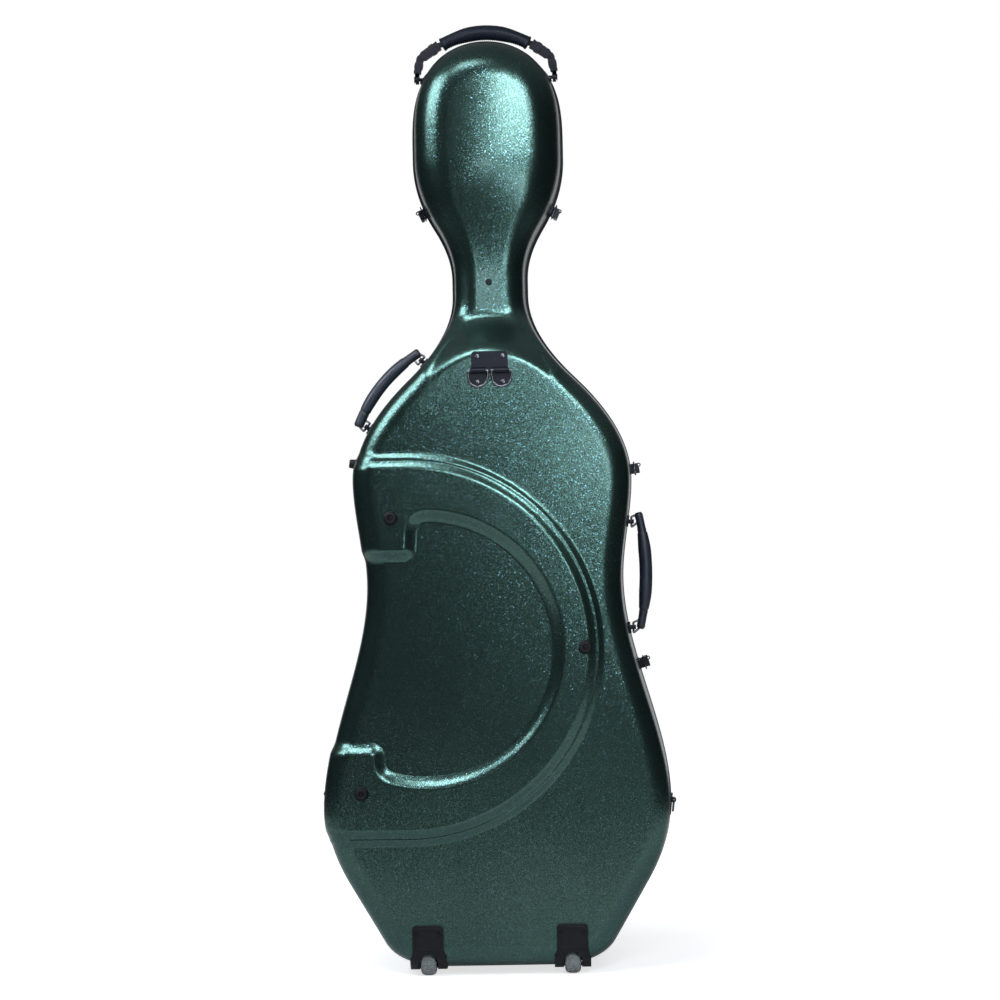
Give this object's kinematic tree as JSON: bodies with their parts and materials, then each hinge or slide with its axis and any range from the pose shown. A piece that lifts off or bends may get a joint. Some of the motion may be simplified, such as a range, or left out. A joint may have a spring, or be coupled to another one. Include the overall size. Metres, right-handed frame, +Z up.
{
  "type": "cello hard case",
  "caption": "Moulded two-shell hard case for a cello, hinged on one side, with draw latches, carrying handles, strap rings, rubber feet and two wheels.",
  "frame": {"origin": "on the floor, under the centre of the bounding box", "axes": "+Z up along the length of the standing case; the back with the raised band faces -Y, the lid faces +Y; +X to the right as seen from behind"},
  "size_m": [0.4951, 0.3144, 1.3235],
  "materials": {
    "shell": "dark green with fine metallic flakes and a light orange-peel gloss",
    "seal": "matt black",
    "lining": "black plush over foam",
    "foam": "black plush over foam",
    "rubber": "matt black",
    "black_plastic": "moulded black",
    "wheel": "grey, slightly translucent",
    "webbing": "woven black",
    "grip": "black, ribbed and padded",
    "grey_metal": "grey satin",
    "black_metal": "black satin"
  },
  "bodies": {
    "case_base": {"base_shell": "shell", "rim_seal": "seal", "base_lining": "lining", "wheel_bracket_left": "black_plastic", "wheel_bracket_right": "black_plastic", "back_foot_upper": "rubber", "back_foot_middle": "rubber", "back_foot_lower": "rubber", "side_foot_upper": "rubber", "side_foot_lower": "rubber", "strap_bracket": "black_metal", "lower_ring_plate_left": "black_metal", "lower_ring_plate_right": "black_metal", "hinge_upper_base_leaf": "black_metal", "hinge_lower_base_leaf": "black_metal", "latch_keeper_right_head": "black_metal", "latch_keeper_left_head": "black_metal", "latch_keeper_right_shoulder": "black_metal", "latch_keeper_right_waist": "black_metal", "shoulder_anchor_low": "black_metal", "shoulder_anchor_high": "black_metal", "waist_anchor_low": "black_metal", "waist_anchor_high": "black_metal", "top_anchor_left": "black_metal", "top_anchor_right": "black_metal", "neck_cradle": "foam", "neck_screw": "grey_metal", "end_block": "foam"},
    "lid": {"lid_shell": "shell", "lid_lining": "lining", "bottom_foot_left": "rubber", "bottom_foot_right": "rubber", "hinge_upper_lid_leaf": "black_metal", "hinge_lower_lid_leaf": "black_metal", "latch_plate_right_head": "black_metal", "latch_plate_left_head": "black_metal", "latch_plate_right_shoulder": "black_metal", "latch_plate_right_waist": "black_metal"},
    "wheel_left": {"wheel_left": "wheel"},
    "wheel_right": {"wheel_right": "wheel"},
    "strap_ring_left": {"strap_ring_left": "grey_metal"},
    "strap_ring_right": {"strap_ring_right": "grey_metal"},
    "lower_ring_left": {"lower_ring_left": "grey_metal"},
    "lower_ring_right": {"lower_ring_right": "grey_metal"},
    "lever_right_head": {"latch_lever_right_head": "grey_metal"},
    "bail_right_head": {"latch_bail_right_head": "grey_metal"},
    "lever_left_head": {"latch_lever_left_head": "grey_metal"},
    "bail_left_head": {"latch_bail_left_head": "grey_metal"},
    "lever_right_shoulder": {"latch_lever_right_shoulder": "grey_metal"},
    "bail_right_shoulder": {"latch_bail_right_shoulder": "grey_metal"},
    "lever_right_waist": {"latch_lever_right_waist": "grey_metal"},
    "bail_right_waist": {"latch_bail_right_waist": "grey_metal"},
    "shoulder_handle": {"shoulder_handle": "grip"},
    "waist_handle": {"waist_handle": "grip"},
    "top_handle": {"top_grip": "grip", "top_strap": "webbing"}
  },
  "joints": [
    {"name": "lid_hinge", "type": "hinge", "parent": "case_base", "child": "lid", "pos_m": [-0.21808, 0.0075, 0.4685], "axis": [0.1051, 0, 0.9945], "range_deg": [0, 100]},
    {"name": "lever_right_head_pivot", "type": "hinge", "parent": "lid", "child": "lever_right_head", "pos_m": [0.0905, 0.02171, 1.05893], "axis": [-0.4196, 0, -0.9077], "range_deg": [0, 95]},
    {"name": "bail_right_head_pivot", "type": "hinge", "parent": "lever_right_head", "child": "bail_right_head", "pos_m": [0.09253, 0.0283, 1.05799], "axis": [-0.4196, 0, -0.9077], "range_deg": [-114, 0]},
    {"name": "lever_left_head_pivot", "type": "hinge", "parent": "lid", "child": "lever_left_head", "pos_m": [-0.09096, 0.02171, 1.05993], "axis": [-0.4196, 0, 0.9077], "range_deg": [0, 95]},
    {"name": "bail_left_head_pivot", "type": "hinge", "parent": "lever_left_head", "child": "bail_left_head", "pos_m": [-0.09299, 0.0283, 1.05899], "axis": [-0.4196, 0, 0.9077], "range_deg": [-114, 0]},
    {"name": "lever_right_shoulder_pivot", "type": "hinge", "parent": "lid", "child": "lever_right_shoulder", "pos_m": [0.19731, 0.02171, 0.6927], "axis": [0.1422, 0, -0.9898], "range_deg": [0, 95]},
    {"name": "bail_right_shoulder_pivot", "type": "hinge", "parent": "lever_right_shoulder", "child": "bail_right_shoulder", "pos_m": [0.19952, 0.0283, 0.69302], "axis": [0.1422, 0, -0.9898], "range_deg": [-114, 0]},
    {"name": "lever_right_waist_pivot", "type": "hinge", "parent": "lid", "child": "lever_right_waist", "pos_m": [0.20647, 0.02171, 0.4183], "axis": [0.2636, 0, -0.9646], "range_deg": [0, 95]},
    {"name": "bail_right_waist_pivot", "type": "hinge", "parent": "lever_right_waist", "child": "bail_right_waist", "pos_m": [0.20863, 0.0283, 0.41889], "axis": [0.2636, 0, -0.9646], "range_deg": [-114, 0]},
    {"name": "wheel_left_axle", "type": "hinge", "parent": "case_base", "child": "wheel_left", "pos_m": [-0.09904, -0.12116, 0.02], "axis": [1, 0, 0], "continuous": true},
    {"name": "wheel_right_axle", "type": "hinge", "parent": "case_base", "child": "wheel_right", "pos_m": [0.09904, -0.12116, 0.02], "axis": [1, 0, 0], "continuous": true},
    {"name": "strap_ring_left_pivot", "type": "hinge", "parent": "case_base", "child": "strap_ring_left", "pos_m": [-0.0162, -0.1492, 0.8295], "axis": [-1, 0, 0], "range_deg": [0, 160]},
    {"name": "strap_ring_right_pivot", "type": "hinge", "parent": "case_base", "child": "strap_ring_right", "pos_m": [0.0162, -0.1492, 0.8295], "axis": [-1, 0, 0], "range_deg": [0, 160]},
    {"name": "lower_ring_left_pivot", "type": "hinge", "parent": "case_base", "child": "lower_ring_left", "pos_m": [-0.24159, -0.05268, 0.2465], "axis": [-0.0397, 0.9992, 0.0049], "range_deg": [0, 120]},
    {"name": "lower_ring_right_pivot", "type": "hinge", "parent": "case_base", "child": "lower_ring_right", "pos_m": [0.24428, -0.05268, 0.22948], "axis": [-0.0397, -0.9992, 0.0044], "range_deg": [0, 120]},
    {"name": "shoulder_handle_pivot", "type": "hinge", "parent": "case_base", "child": "shoulder_handle", "pos_m": [-0.13587, -0.05275, 0.80278], "axis": [0.6488, 0, 0.7609], "range_deg": [-50, 50]},
    {"name": "waist_handle_pivot", "type": "hinge", "parent": "case_base", "child": "waist_handle", "pos_m": [0.19215, -0.05275, 0.54495], "axis": [-0.0012, 0, 1], "range_deg": [-50, 50]},
    {"name": "top_handle_pivot", "type": "hinge", "parent": "case_base", "child": "top_handle", "pos_m": [0, -0.0305, 1.244], "axis": [1, 0, 0], "range_deg": [-12, 12]}
  ],
  "couplings": [
    {"joint": "bail_right_head_pivot", "follows": "lever_right_head_pivot", "ratio": -1.2},
    {"joint": "bail_left_head_pivot", "follows": "lever_left_head_pivot", "ratio": -1.2},
    {"joint": "bail_right_shoulder_pivot", "follows": "lever_right_shoulder_pivot", "ratio": -1.2},
    {"joint": "bail_right_waist_pivot", "follows": "lever_right_waist_pivot", "ratio": -1.2}
  ]
}
